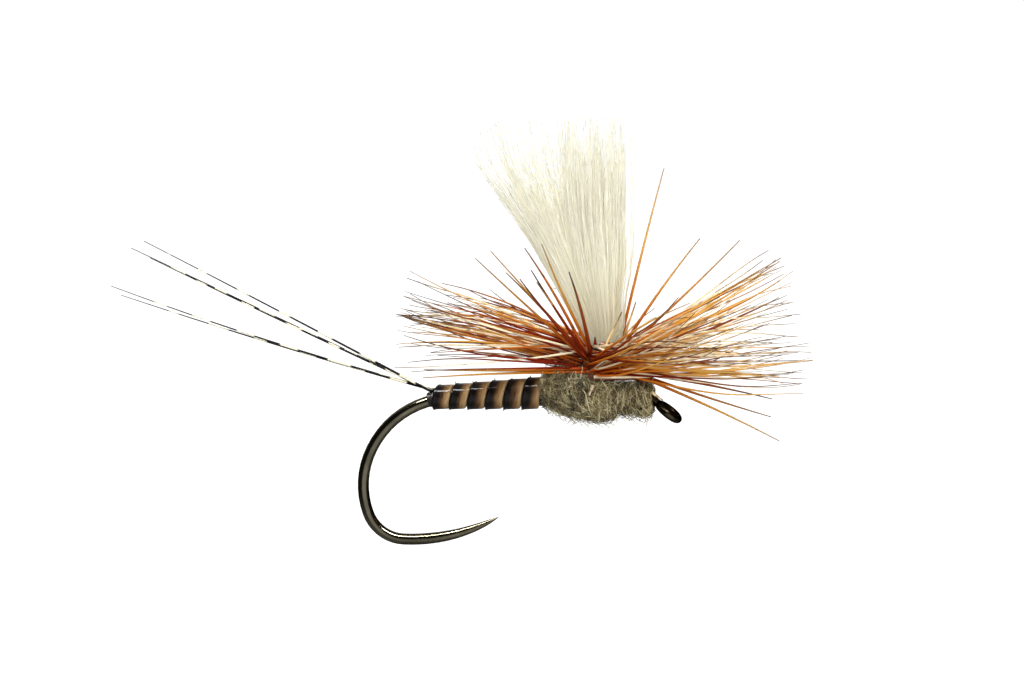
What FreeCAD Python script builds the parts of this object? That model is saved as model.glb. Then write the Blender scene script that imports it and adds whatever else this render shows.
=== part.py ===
"""Parachute dry fly tied on a size 12 barbless hook, in millimetres.

Row frame: the origin is the centre of the hook eye, +X points forward along the shank, +Z points
up along the wing post, and Y is across the hook. Every piece that is tied to the hook is a solid of
its own: the hook wire, the sections of tying thread, the stripped quill, the tail fibres, the
wing hank with its two tufts, the two hackle feathers (a stem and its turns of barbs each), and
the dubbed thorax.
"""

import FreeCAD
import Part
import math
import os

V = FreeCAD.Vector
OUT = "parts"

# Hook wire
WIRE_R = 0.225
SHANK_Z = 0.54
BEND_START_X = -8.59
BEND_ARCS = [(3.80, 67.7), (3.28, 40.7), (1.54, 69.4), (7.48, 30.8)]  # radius, turn in degrees
POINT_LENGTH = 3.4
POINT_POWER = 0.65
POINT_TIP_R = 0.012
POINT_SECTIONS = 9

# Hook eye, turned down
EYE_TILT = math.radians(39.0)
EYE_BORE_R = 0.31
EYE_WIRE_R = 0.16
EYE_LAND_DEPTH = 0.01
EYE_RING_R = EYE_BORE_R + EYE_WIRE_R - EYE_LAND_DEPTH
NECK_R = 0.16
ELBOW_R = 0.5
NECK_TAPER_X = (-1.45, -0.95)

# Body: a cone that leans with the wing butts on top of the shank
BODY_REAR = V(-9.42, 0, 0.56)
BODY_FRONT = V(-4.70, 0, 0.755)
BODY_CORE_R = (0.375, 0.525)
BODY_NECK_X = (-4.90, -3.18)
BODY_NECK_R = 0.49
UNDERBODY_START = 0.03  # share of the cone left to the tail's thread
QUILL_PITCH = 0.73
QUILL_WIDTH = 0.69
QUILL_THICK = 0.085
QUILL_LIFT = 0.035
QUILL_CLEAR = 0.006

# Thread
THREAD_LAYER = 0.05
BASE_X = (-9.30, -1.45)
TAIL_COLLAR = (V(-9.62, 0, 0.44), V(-9.29, 0, 0.50))
TAIL_COLLAR_R = (0.34, 0.37)
HEAD_X = (-2.02, -1.00, -0.66)
HEAD_R = (0.36, 0.25)

# Wing post
POST_X = -2.60
POST_R = 0.50
POST_BASE_Z = SHANK_Z + WIRE_R + THREAD_LAYER
POST_FLARE_Z = 2.72
POST_TOP_Z = 3.00
POST_TOP_R = 0.66
BUTT_REAR_X = -8.2
BUTT_R = (0.10, 0.30)

# Wing tufts: (z, centre x, half width along X, half width along Y)
TUFT_FRONT = [
    (3.01, -2.30, 0.34, 0.48),
    (5.00, -2.62, 0.88, 0.80),
    (8.00, -2.90, 1.30, 1.05),
    (11.20, -3.02, 1.42, 1.20),
    (11.75, -3.02, 1.05, 0.90),
]
TUFT_REAR = [
    (3.01, -2.96, 0.28, 0.42),
    (5.00, -4.08, 0.50, 0.66),
    (8.00, -5.25, 0.98, 0.90),
    (10.80, -5.90, 1.16, 1.05),
    (11.35, -5.98, 0.85, 0.80),
]

# Hackle: two feathers wound in alternate turns round the post
STEM_R = 0.095
STEM_TURNS = 3
STACK_Z = 1.42
STEM_PITCH = 4.12 * STEM_R
STEM_ORBIT_R = POST_R + THREAD_LAYER + STEM_R + 0.012
STEM_RUN_R = 0.085
STEM_RUN_OVERLAP = V(-0.06, 0, 0)
STEM_RUN_CORNERS = [V(-1.12, -0.26, 1.40), V(-0.86, -0.12, 0.86)]
STEM_RUN_STEP = V(0, 0.24, 0.02)
BARBS_PER_TURN = 36
BARB_R = (0.044, 0.008)
BARB_LENGTH = (6.2, 7.5)
BARB_PARTING = math.radians(56.0)
BARB_SWEEP = math.radians(34.0)

# Thorax: outlines revolved round the X direction, (x, radius) at the start, the middle and the end,
# and the bores (x, radius) that clear what the dubbing is spun on
THORAX_REAR_Z = 0.755
THORAX_REAR = [(-5.05, 0.70), (-3.85, 1.03), (POST_X, 0.80)]
THORAX_REAR_BORE = [(-5.05, 0.68), (-4.68, 0.68), (-4.68, 0.51), (POST_X, 0.51)]
THORAX_FRONT_Z = SHANK_Z
THORAX_FRONT = [(POST_X, 0.78), (-1.70, 0.74), (-0.64, 0.50)]
THORAX_FRONT_BORE = [(POST_X, 0.37), (-0.64, 0.37)]
STACK_CLEAR_R = STEM_ORBIT_R + STEM_R + 0.02
STACK_CLEAR_Z = STACK_Z - STEM_R - 0.02
POST_CLEAR_R = POST_R + THREAD_LAYER + 0.01
RUN_CLEAR = 0.01

# Tail: tips of the five barbed fibres, and how far each butt lies under the thread
TAIL_TIPS = [
    V(-21.27, 1.15, 6.70),
    V(-21.67, 0.60, 6.49),
    V(-20.81, 0.20, 6.14),
    V(-21.85, -0.60, 4.75),
    V(-22.15, -1.00, 5.17),
]
TAIL_BUTT_X = -8.70
TAIL_EXIT_X = -9.55
TAIL_R = (0.045, 0.014)
TAIL_SAG = 0.10
TAIL_LIFT = 0.02
TAIL_SPACING = 0.095


def circle(centre, normal, radius, across):
    """A circular wire whose seam points along across, so that lofts don't twist."""
    ring = Part.Circle(centre, normal, radius)
    flat = across - normal * across.dot(normal)
    ring.XAxis = flat.normalize()
    return Part.Wire([ring.toShape()])


def fibre(points, radii, across=V(0, 1, 0)):
    """A tapered fibre: straight tapers from circle to circle, each square to the fibre's line."""
    rings = []
    for i, point in enumerate(points):
        ahead = points[min(i + 1, len(points) - 1)]
        behind = points[max(i - 1, 0)]
        along = (ahead - behind).normalize()
        rings.append(circle(point, along, radii[i], across))
    return Part.makeLoft(rings, True, True)


def along_arc(start, heading, radius, turn):
    """The point and the heading after an arc in the XZ plane that turns from heading by turn."""
    centre = V(start.x - radius * math.sin(heading), 0, start.z + radius * math.cos(heading))
    after = heading + turn
    return V(centre.x + radius * math.sin(after), 0, centre.z - radius * math.cos(after)), after


def pipe(edges, radius, across=V(0, 1, 0)):
    """A round bar of one radius along edges that are tangent to each other."""
    path = Part.Wire(edges)
    first = edges[0]
    start = first.valueAt(first.FirstParameter)
    normal = first.tangentAt(first.FirstParameter)
    return path.makePipeShell([circle(start, normal, radius, across)], True, False)


def bar(start, end, radius_start, radius_end=None):
    """A round bar or cone between two points."""
    length = (end - start).Length
    if radius_end is None or abs(radius_start - radius_end) < 1e-9:
        return Part.makeCylinder(radius_start, length, start, end - start)
    return Part.makeCone(radius_start, radius_end, length, start, end - start)


def fuse_all(shapes):
    joined = shapes[0].multiFuse(shapes[1:])
    return joined.removeSplitter()


def eye_direction():
    """Unit vector from the shank to the far side of the eye ring."""
    return V(math.cos(EYE_TILT), 0, -math.sin(EYE_TILT))


def eye_axis():
    """Unit vector along the eye's bore, pointing below the hook, where the tippet leaves freely."""
    return V(-math.sin(EYE_TILT), 0, -math.cos(EYE_TILT))


def hook_bend():
    """The bend at full wire, as a pipe, and the tapered barbless point, as a loft."""
    point = V(BEND_START_X, 0, SHANK_Z)
    heading = math.pi
    edges = []
    for radius, turn_deg in BEND_ARCS:
        turn = math.radians(turn_deg)
        is_last = (radius, turn_deg) == BEND_ARCS[-1]
        if is_last:
            turn -= POINT_LENGTH / radius
        middle, _ = along_arc(point, heading, radius, turn / 2)
        end, after = along_arc(point, heading, radius, turn)
        if turn > 1e-3:
            edges.append(Part.Arc(point, middle, end).toShape())
            point, heading = end, after
    rings = []
    last_radius = BEND_ARCS[-1][0]
    for i in range(POINT_SECTIONS):
        travelled = POINT_LENGTH * i / (POINT_SECTIONS - 1)
        place, direction = along_arc(point, heading, last_radius, travelled / last_radius)
        share = travelled / POINT_LENGTH
        radius = max(POINT_TIP_R, WIRE_R * (1 - share**2) ** POINT_POWER)
        normal = V(math.cos(direction), 0, math.sin(direction))
        rings.append(circle(place, normal, radius, V(0, 1, 0)))
    return pipe(edges, WIRE_R), Part.makeLoft(rings, True, False)


def hook():
    """One bent wire: eye ring, neck, shank, bend and barbless point."""
    down = eye_direction()
    ring = Part.makeTorus(EYE_RING_R, EYE_WIRE_R, V(0, 0, 0), eye_axis())
    bore = Part.makeCylinder(EYE_BORE_R, 1.0, eye_axis() * -0.5, eye_axis())
    ring_rear = down * -EYE_RING_R
    corner = ring_rear - down * ((SHANK_Z - ring_rear.z) / math.sin(EYE_TILT))
    tangent = ELBOW_R * math.tan(EYE_TILT / 2)
    elbow_start = corner + V(-tangent, 0, 0)
    elbow_end = corner + down * tangent
    elbow_middle, _ = along_arc(elbow_start, 0.0, -ELBOW_R, -EYE_TILT / 2)
    elbow = pipe([Part.Arc(elbow_start, elbow_middle, elbow_end).toShape()], NECK_R)
    neck = bar(elbow_end, ring_rear, NECK_R)
    taper_start = V(NECK_TAPER_X[0], 0, SHANK_Z)
    taper_end = V(NECK_TAPER_X[1], 0, SHANK_Z)
    front = bar(taper_end, elbow_start, NECK_R)
    taper = bar(taper_start, taper_end, WIRE_R, NECK_R)
    shank = bar(V(BEND_START_X, 0, SHANK_Z), taper_start, WIRE_R)
    bend, point = hook_bend()
    eye = ring.fuse(neck).cut(bore)
    return fuse_all([eye, elbow, front, taper, shank, bend, point])


def underbody():
    """The outside of the thread that the body is built on: a cone, and a level stretch to the post."""
    start = BODY_REAR + (BODY_FRONT - BODY_REAR) * UNDERBODY_START
    start_r = BODY_CORE_R[0] + (BODY_CORE_R[1] - BODY_CORE_R[0]) * UNDERBODY_START
    cone = bar(start, BODY_FRONT, start_r, BODY_CORE_R[1])
    neck = bar(V(BODY_NECK_X[0], 0, BODY_FRONT.z), V(BODY_NECK_X[1], 0, BODY_FRONT.z), BODY_NECK_R)
    return cone.fuse(neck)


def thread_base(wire):
    """The first layer of thread, laid on the bare shank from behind the eye to the bend."""
    start = V(BASE_X[0], 0, SHANK_Z)
    end = V(BASE_X[1], 0, SHANK_Z)
    layer = bar(V(BEND_START_X, 0, SHANK_Z), end, WIRE_R + THREAD_LAYER)
    rear = bar(start, V(BEND_START_X, 0, SHANK_Z), WIRE_R + 0.3 * THREAD_LAYER, WIRE_R + THREAD_LAYER)
    return layer.fuse(rear).removeSplitter().cut(wire)


def wing_hank(inner):
    """The bound part of the wing yarn: butts tapering back along the shank, and the post."""
    post = bar(V(POST_X, 0, SHANK_Z), V(POST_X, 0, POST_FLARE_Z), POST_R)
    flare = bar(V(POST_X, 0, POST_FLARE_Z), V(POST_X, 0, POST_TOP_Z), POST_R, POST_TOP_R)
    butts_top = SHANK_Z + WIRE_R + THREAD_LAYER
    butts = bar(V(BUTT_REAR_X, 0, butts_top - 0.06), V(POST_X, 0, butts_top + 0.12), *BUTT_R)
    return fuse_all([post, flare, butts]).cut(inner)


def helix_strip(profile, pitch, height, radius, cone_deg=0.0, left_handed=False):
    path = Part.makeHelix(pitch, height, radius, cone_deg, left_handed)
    return Part.Wire(path.Edges).makePipeShell([profile], True, True)


def quill_body():
    """One stripped quill wound forward in touching turns, the rear edge of each turn raised."""
    axis = BODY_FRONT - BODY_REAR
    cone = math.degrees(math.atan2(BODY_CORE_R[1] - BODY_CORE_R[0], axis.Length))
    inner = BODY_CORE_R[0] + QUILL_CLEAR
    corners = [
        V(inner + QUILL_LIFT, 0, 0),
        V(inner, 0, QUILL_WIDTH),
        V(inner + QUILL_THICK, 0, QUILL_WIDTH),
        V(inner + QUILL_LIFT + QUILL_THICK, 0, 0),
    ]
    profile = Part.makePolygon(corners + corners[:1])
    strip = helix_strip(profile, QUILL_PITCH, axis.Length - QUILL_WIDTH, inner, cone)
    strip.Placement = FreeCAD.Placement(BODY_REAR, FreeCAD.Rotation(V(0, 0, 1), axis))
    return strip


def tail_collar(wire, fibres):
    """Thread turns that bind the tail at the top of the bend."""
    return bar(*TAIL_COLLAR, *TAIL_COLLAR_R).cut(wire).cut(fibres)


def head_wraps(taken):
    """Thread in front of the post, tapered to the whip finish behind the eye."""
    stops = [V(x, 0, SHANK_Z) for x in HEAD_X]
    level = bar(stops[0], stops[1], HEAD_R[0])
    taper = bar(stops[1], stops[2], *HEAD_R)
    return level.fuse(taper).removeSplitter().cut(taken)


def post_wraps(inner):
    """Thread wound up the post, the seat for the hackle."""
    sleeve = bar(V(POST_X, 0, POST_BASE_Z), V(POST_X, 0, POST_FLARE_Z), POST_R + THREAD_LAYER)
    core = bar(V(POST_X, 0, 0), V(POST_X, 0, POST_TOP_Z), POST_R)
    return sleeve.cut(core).cut(inner)


def tail_fibre(index):
    """A single fibre with its butt under the thread, curving out to its tip."""
    tip = TAIL_TIPS[index]
    side = (index - 2) * TAIL_SPACING
    on_shank = SHANK_Z + WIRE_R + THREAD_LAYER + TAIL_R[0] + TAIL_LIFT
    butt = V(TAIL_BUTT_X, side, on_shank)
    leave = V(TAIL_EXIT_X, side, on_shank)
    count = 6
    points = [butt, leave]
    radii = [TAIL_R[0], TAIL_R[0]]
    for i in range(1, count + 1):
        share = i / count
        place = leave + (tip - leave) * share
        place.z -= TAIL_SAG * 4 * share * (1 - share)
        points.append(place)
        radii.append(TAIL_R[0] + (TAIL_R[1] - TAIL_R[0]) * share)
    return fibre(points, radii)


def tuft(sections):
    """A fan of loose wing fibres as one closed solid."""
    rings = []
    for z, x, half_x, half_y in sections:
        centre = V(x, 0, z)
        long_end = V(x + half_x, 0, z)
        short_end = V(x, half_y, z)
        if half_y > half_x:
            long_end = V(x, half_y, z)
            short_end = V(x - half_x, 0, z)
        ellipse = Part.Ellipse(long_end, short_end, centre)
        rings.append(Part.Wire([ellipse.toShape()]))
    return Part.makeLoft(rings, True, False)


def stem_run(feather, radius=STEM_RUN_R):
    """The last of a stem: from the foot of the stack forward and down to the head."""
    step = STEM_RUN_STEP * feather
    foot = V(POST_X, -STEM_ORBIT_R, STACK_Z + 0.5 * STEM_PITCH * feather)
    stops = [foot + STEM_RUN_OVERLAP] + [corner + step for corner in STEM_RUN_CORNERS]
    runs = [bar(a, b, radius) for a, b in zip(stops, stops[1:])]
    knuckle = Part.makeSphere(radius, stops[1])
    return runs + [knuckle]


def hackle_stem(feather):
    """One hackle stem: its turns round the post, clockwise on the way up, and its run forward."""
    ring = circle(V(STEM_ORBIT_R, 0, 0), V(0, 1, 0), STEM_R, V(1, 0, 0))
    turns = helix_strip(ring, STEM_PITCH, STEM_PITCH * STEM_TURNS, STEM_ORBIT_R, 0.0, True)
    foot = V(POST_X, 0, STACK_Z + 0.5 * STEM_PITCH * feather)
    turns.Placement = FreeCAD.Placement(foot, FreeCAD.Rotation(V(0, 0, 1), -90))
    return fuse_all([turns] + stem_run(feather))


def wave(n, seed):
    """A repeatable number from -1 to 1 for the n-th fibre."""
    value = math.sin(n * 12.9898 + seed * 78.233) * 43758.5453
    return 2 * (value - math.floor(value)) - 1


def barb_heading(n):
    """Which way a barb points in plan, and how steeply it rises.

    The disc of barbs parts over the near side of the thorax, where only a few stand up steeply.
    """
    share = (n * (math.sqrt(5) - 1) / 2) % 1.0
    stands_up = n % 12 == 5
    if stands_up:
        plan = -math.pi / 2 + 0.5 * BARB_PARTING * wave(n, 1)
        return plan, math.radians(48.0 + 14.0 * wave(n, 2))
    plan = -math.pi / 2 + BARB_PARTING / 2 + share * (2 * math.pi - BARB_PARTING)
    facing = math.cos(plan)
    over_body = max(0.0, -facing) ** 4
    spread = 13.0 + 6.0 * max(0.0, facing)
    return plan, math.radians(10.0 + spread * wave(n, 2) + 6.0 * over_body)


def barb(n, z):
    """A single barb: it leaves its stem nearly along it, and bends outward as it goes."""
    plan, lift = barb_heading(n)
    length = BARB_LENGTH[0] + (BARB_LENGTH[1] - BARB_LENGTH[0]) * abs(wave(n, 4)) ** 0.6
    root_at = plan - BARB_SWEEP * (1 + 0.4 * wave(n, 3))
    root = V(POST_X, 0, z) + V(math.cos(root_at), math.sin(root_at), 0) * (STEM_ORBIT_R + STEM_R)
    out = V(math.cos(plan) * math.cos(lift), math.sin(plan) * math.cos(lift), math.sin(lift))
    side = V(0, 0, 1).cross(out).normalize()
    bow_side = 0.30 * wave(n, 5)
    bow_up = 0.20 * wave(n, 6)
    points = []
    radii = []
    for t in (0.0, 0.35, 0.7, 1.0):
        bow = 4 * t * (1 - t)
        points.append(root + out * (length * t) + side * (bow_side * bow) + V(0, 0, bow_up * bow))
        radii.append(BARB_R[0] + (BARB_R[1] - BARB_R[0]) * t**1.3)
    return fibre(points, radii, V(0, 0, 1))


def barb_turn(feather, turn):
    """The barbs of one turn of one feather, as a group of separate solids."""
    first = (2 * turn + feather) * BARBS_PER_TURN
    barbs = []
    for k in range(BARBS_PER_TURN):
        z = STACK_Z + STEM_PITCH * (turn + k / BARBS_PER_TURN + 0.5 * feather)
        barbs.append(barb(first + k, z))
    return Part.makeCompound(barbs)


def thorax(outline, bore, axis_z):
    """A dubbed section: the space between an arched outline and its bore, revolved round X."""
    start, middle, end = [V(x, 0, axis_z + radius) for x, radius in outline]
    edges = [Part.Arc(start, middle, end).toShape()]
    stops = [end] + [V(x, 0, axis_z + radius) for x, radius in reversed(bore)] + [start]
    edges += [Part.makeLine(a, b) for a, b in zip(stops, stops[1:])]
    ring = Part.Face(Part.Wire(edges)).revolve(V(0, 0, axis_z), V(1, 0, 0), 360)
    stack = bar(V(POST_X, 0, STACK_CLEAR_Z), V(POST_X, 0, POST_TOP_Z), STACK_CLEAR_R)
    post = bar(V(POST_X, 0, 0), V(POST_X, 0, POST_TOP_Z), POST_CLEAR_R)
    return ring.cut(post).cut(stack)


def build():
    """Every node by name."""
    nodes = {}
    wire = hook()
    nodes["hook"] = wire
    fibres = [tail_fibre(i) for i in range(len(TAIL_TIPS))]
    for i, one in enumerate(fibres):
        nodes[f"tail_fibre_{i + 1}"] = one
    all_fibres = fibres[0].multiFuse(fibres[1:])
    base = thread_base(wire)
    nodes["thread_base"] = base
    on_shank = wire.fuse(base)
    hank = wing_hank(on_shank)
    nodes["wing_hank"] = hank
    nodes["underbody_wraps"] = underbody().cut(on_shank).cut(hank).cut(all_fibres)
    nodes["tail_tie_wraps"] = tail_collar(wire, all_fibres)
    nodes["quill_body"] = quill_body()
    runs = stem_run(0, STEM_RUN_R + RUN_CLEAR) + stem_run(1, STEM_RUN_R + RUN_CLEAR)
    nodes["head_wraps"] = head_wraps(on_shank.multiFuse(runs))
    nodes["post_wraps"] = post_wraps(on_shank.fuse(hank))
    nodes["wing_tuft_front"] = tuft(TUFT_FRONT)
    nodes["wing_tuft_rear"] = tuft(TUFT_REAR)
    for feather, name in enumerate(("brown", "grizzly")):
        nodes[f"{name}_hackle_stem"] = hackle_stem(feather)
        for turn in range(STEM_TURNS):
            nodes[f"{name}_barbs_turn_{turn + 1}"] = barb_turn(feather, turn)
    nodes["thorax_dubbing_rear"] = thorax(THORAX_REAR, THORAX_REAR_BORE, THORAX_REAR_Z)
    front = thorax(THORAX_FRONT, THORAX_FRONT_BORE, THORAX_FRONT_Z)
    nodes["thorax_dubbing_front"] = front.cut(runs)
    return nodes


os.makedirs(OUT, exist_ok=True)
for name, shape in build().items():
    shape.exportStep(f"{OUT}/{name}.step")
    print(f"{name:24s} solids {len(shape.Solids):3d}  valid {shape.isValid()}  mm3 {shape.Volume:.4f}")
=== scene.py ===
import math

import bpy
import numpy as np
from mathutils import Matrix, Vector


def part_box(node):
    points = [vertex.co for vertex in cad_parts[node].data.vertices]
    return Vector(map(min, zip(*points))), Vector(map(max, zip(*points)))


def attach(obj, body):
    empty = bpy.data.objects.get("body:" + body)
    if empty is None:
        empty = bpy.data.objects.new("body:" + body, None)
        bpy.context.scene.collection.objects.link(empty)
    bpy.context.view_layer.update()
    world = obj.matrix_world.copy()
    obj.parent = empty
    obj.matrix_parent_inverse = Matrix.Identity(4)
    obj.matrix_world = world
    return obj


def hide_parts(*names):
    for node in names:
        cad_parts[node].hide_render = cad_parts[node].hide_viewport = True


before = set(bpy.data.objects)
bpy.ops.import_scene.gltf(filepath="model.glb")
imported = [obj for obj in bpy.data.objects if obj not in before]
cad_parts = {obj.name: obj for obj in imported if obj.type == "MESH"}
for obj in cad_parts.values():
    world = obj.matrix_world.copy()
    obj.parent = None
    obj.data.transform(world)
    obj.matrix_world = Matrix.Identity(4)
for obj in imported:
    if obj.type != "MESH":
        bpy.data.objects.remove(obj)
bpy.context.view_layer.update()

MM = 0.001


def corners(node):
    """The lowest and highest corner of a CAD node, in millimetres."""
    low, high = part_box(node)
    return np.array(low) / MM, np.array(high) / MM


def middle_of(node):
    """The middle of a CAD node's box, in millimetres."""
    low, high = corners(node)
    return (low + high) / 2


def seeded(number):
    """Random numbers that are the same in every run."""
    return np.random.default_rng(4100 + number)


# The camera: degrees round and above the fly, its view's width in millimetres, its aim on its own axes
VIEW_AZIMUTH = 10.0
VIEW_ELEVATION = 8.0
VIEW_WIDTH = 40.34
VIEW_AIM = (-6.17, 2.77)
LENS = 200.0
SENSOR = 36.0

# Where things are on the fly, in millimetres from the centre of the hook eye
SHANK_Z = middle_of("thread_base")[2]
POST_X = middle_of("post_wraps")[0]
WING_TOP = corners("wing_tuft_front")[1][2]

# The hackle stems' turns: their radius, how high the first one is and how far each climbs
STEM_ORBIT_R = 0.66
STACK_Z = 1.42
STEM_PITCH = 0.391


# ---- colours and shader nodes

WHITE = (1.0, 1.0, 1.0, 1.0)


def tint(red, green, blue):
    """A linear colour from its 0-255 display values."""
    values = np.array([red, green, blue]) / 255
    linear = np.where(values <= 0.04045, values / 12.92, ((values + 0.055) / 1.055) ** 2.4)
    return (*linear.tolist(), 1.0)


def new_material(name, **settings):
    """A material whose Principled shader has these constants on its own sockets."""
    material = bpy.data.materials.new(name)
    material.use_nodes = True
    shader = material.node_tree.nodes["Principled BSDF"]
    for socket, value in settings.items():
        shader.inputs[socket.replace("_", " ")].default_value = value
    return material, shader


def link(material, source, target):
    material.node_tree.links.new(source, target)


def feed(material, value, socket):
    """Link the input where a socket is given, and set it where a value is."""
    if isinstance(value, bpy.types.NodeSocket):
        link(material, value, socket)
    else:
        socket.default_value = value


def add_node(material, kind, **inputs):
    node = material.node_tree.nodes.new(kind)
    for name, value in inputs.items():
        feed(material, value, node.inputs[name.replace("_", " ")])
    return node


def attribute(material, name):
    """The value that each point of a mesh carries under this name."""
    node = add_node(material, "ShaderNodeAttribute")
    node.attribute_name = name
    return node.outputs["Fac"]


def object_place(material):
    return add_node(material, "ShaderNodeTexCoord").outputs["Object"]


def maths(material, operation, first, second=0.0, third=0.0):
    node = add_node(material, "ShaderNodeMath")
    node.operation = operation
    for socket, value in zip(node.inputs, (first, second, third)):
        feed(material, value, socket)
    return node.outputs[0]


def through_stops(material, factor, stops):
    node = add_node(material, "ShaderNodeValToRGB")
    elements = node.color_ramp.elements
    while len(elements) < len(stops):
        elements.new(0.5)
    for element, (place, colour) in zip(elements, stops):
        element.position = place
        element.color = colour
    link(material, factor, node.inputs[0])
    return node.outputs["Color"]


def ramp(material, factor, stops):
    """A colour that changes with factor, through stops of a place and 0-255 display values."""
    return through_stops(material, factor, [(place, tint(*values)) for place, *values in stops])


def grey_ramp(material, factor, stops):
    """A grey that changes with factor, through stops of a place and a level from 0 to 1."""
    return through_stops(material, factor, [(place, (level, level, level, 1.0)) for place, level in stops])


def blend(material, factor, first, second, mode="MIX"):
    node = add_node(material, "ShaderNodeMix")
    node.data_type = "RGBA"
    node.blend_type = mode
    feed(material, factor, node.inputs[0])
    feed(material, first, node.inputs[6])
    feed(material, second, node.inputs[7])
    return node.outputs[2]


def noise(material, vector, scale, detail=3.0):
    node = add_node(material, "ShaderNodeTexNoise", Vector=vector, Scale=scale, Detail=detail)
    node.inputs["Roughness"].default_value = 0.55
    return node.outputs["Fac"]


def stretched(material, vector, scales):
    """A texture place with a scale of its own along each direction."""
    node = add_node(material, "ShaderNodeMapping", Vector=vector, Scale=scales)
    return node.outputs["Vector"]


def place_of(material, first, second, first_scale=1.0, second_scale=1.0):
    """A flat texture place from two values, each with a scale of its own."""
    first = maths(material, "MULTIPLY", first, first_scale)
    second = maths(material, "MULTIPLY", second, second_scale)
    return add_node(material, "ShaderNodeCombineXYZ", X=first, Y=second).outputs[0]


def paint(material, shader, colour):
    """Give the shader its colour, which finishes the material."""
    link(material, colour, shader.inputs["Base Color"])
    return material


def raise_surface(material, shader, height, distance, strength=1.0):
    """Bumps in the surface as high as distance, in metres."""
    node = add_node(material, "ShaderNodeBump", Height=height, Distance=distance, Strength=strength)
    link(material, node.outputs["Normal"], shader.inputs["Normal"])


# ---- materials

EYE_FADE = 5 / 3


def black_nickel():
    """Dark plating with brown stains. Painted shade makes it turn blacker over the last EYE_FADE
    millimetres to the eye.
    """
    material, shader = new_material(
        "black_nickel", Metallic=1.0, Roughness=0.12, Specular_Tint=tint(90, 88, 84)
    )
    place = object_place(material)
    stains = noise(material, place, 900.0, 4.0)
    colour = ramp(material, stains, [(0.3, 82, 78, 64), (0.7, 122, 117, 98)])
    along = add_node(material, "ShaderNodeSeparateXYZ", Vector=place).outputs["X"]
    near_eye = maths(material, "MULTIPLY_ADD", along, 1 / (EYE_FADE * MM), 1.0)
    # Painted shade: the colour is multiplied darker towards the eye.
    eye_shade = ramp(material, near_eye, [(0.3, 255, 255, 255), (0.8, 158, 156, 152)])
    colour = blend(material, 1.0, colour, eye_shade, "MULTIPLY")
    drawn = noise(material, stretched(material, place, (2500.0, 26000.0, 9000.0)), 1.0, 2.0)
    raise_surface(material, shader, drawn, 0.000004, 0.35)
    return paint(material, shader, colour)


def varnished_quill():
    """A dark stripe along the rear of the quill and tan along its front, under clear varnish."""
    material, shader = new_material(
        "varnished_quill", Roughness=0.5, Specular_IOR_Level=0.05, Coat_Weight=0.35, Coat_Roughness=0.05
    )
    across = attribute(material, "across")
    along = attribute(material, "along")
    streaks = noise(material, place_of(material, across, along, 26.0, 2.2), 1.0)
    patches = noise(material, place_of(material, across, along, 2.0, 1.1), 1.0, 2.0)
    shift = maths(material, "MULTIPLY_ADD", streaks, 0.36, -0.18)
    shift = maths(material, "MULTIPLY_ADD", patches, 0.5, maths(material, "SUBTRACT", shift, 0.25))
    shade = maths(material, "ADD", across, shift)
    colour = ramp(material, shade, [
        (0.05, 3, 2, 1),
        (0.36, 15, 9, 5),
        (0.52, 60, 39, 21),
        (0.70, 118, 88, 54),
        (0.94, 158, 129, 90),
    ])
    raise_surface(material, shader, streaks, 0.00002, 0.5)
    return paint(material, shader, colour)


def quill_burr():
    material, shader = new_material("quill_burr", Roughness=0.4, Coat_Weight=0.3)
    grain = noise(material, object_place(material), 9000.0)
    colour = ramp(material, grain, [(0.3, 6, 4, 3), (0.7, 34, 22, 14)])
    return paint(material, shader, colour)


def tying_thread():
    """Dark waxed thread, with the fibres that it is spun from."""
    material, shader = new_material("tying_thread", Roughness=0.5, Coat_Weight=0.25, Coat_Roughness=0.2)
    fibres = noise(material, stretched(material, object_place(material), (9000.0, 22000.0, 22000.0)), 1.0)
    colour = ramp(material, fibres, [(0.3, 9, 6, 4), (0.72, 40, 25, 17)])
    raise_surface(material, shader, fibres, 0.00001, 0.4)
    return paint(material, shader, colour)


def wing_yarn():
    """White yarn, with painted shade that makes it darker and creamier towards its roots, where the fibres
    crowd. Its faint glow is painted light, for the light that comes through the fibres and fills the shade
    between them.
    """
    # Painted light: a faint glow of its own that lightens the whole yarn.
    painted_glow = tint(245, 245, 229)
    material, shader = new_material(
        "wing_yarn", Roughness=0.5, Emission_Strength=0.155, Emission_Color=painted_glow
    )
    shade = attribute(material, "shade")
    along = attribute(material, "along")
    colour = ramp(material, shade, [
        (0.0, 231, 226, 206),
        (0.4, 236, 232, 215),
        (1.0, 243, 240, 227),
    ])
    # Painted shade: darker and creamier towards the roots, where the fibres crowd together. Palest three
    # quarters of the way up, a little darker at the tips.
    root = ramp(material, along, [
        (0.0, 186, 176, 140),
        (0.22, 193, 184, 153),
        (0.45, 223, 218, 197),
        (0.75, 254, 254, 250),
        (0.90, 247, 247, 242),
        (1.0, 200, 200, 193),
    ])
    return paint(material, shader, blend(material, 1.0, colour, root, "MULTIPLY"))


def brown_barb():
    """Red brown to ginger barbs, darkest at the root, that pale towards their tips."""
    material, shader = new_material("brown_barb", Roughness=0.45, Specular_IOR_Level=0.1)
    along = attribute(material, "along")
    shade = attribute(material, "shade")
    dark = ramp(material, along, [
        (0.0, 92, 16, 1),
        (0.35, 124, 28, 4),
        (0.65, 112, 42, 12),
        (0.85, 60, 32, 18),
        (1.0, 60, 42, 32),
    ])
    light = ramp(material, along, [
        (0.0, 192, 76, 10),
        (0.25, 210, 120, 26),
        (0.60, 232, 178, 84),
        (0.85, 212, 166, 102),
        (1.0, 166, 136, 106),
    ])
    return paint(material, shader, blend(material, shade, dark, light))


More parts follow.
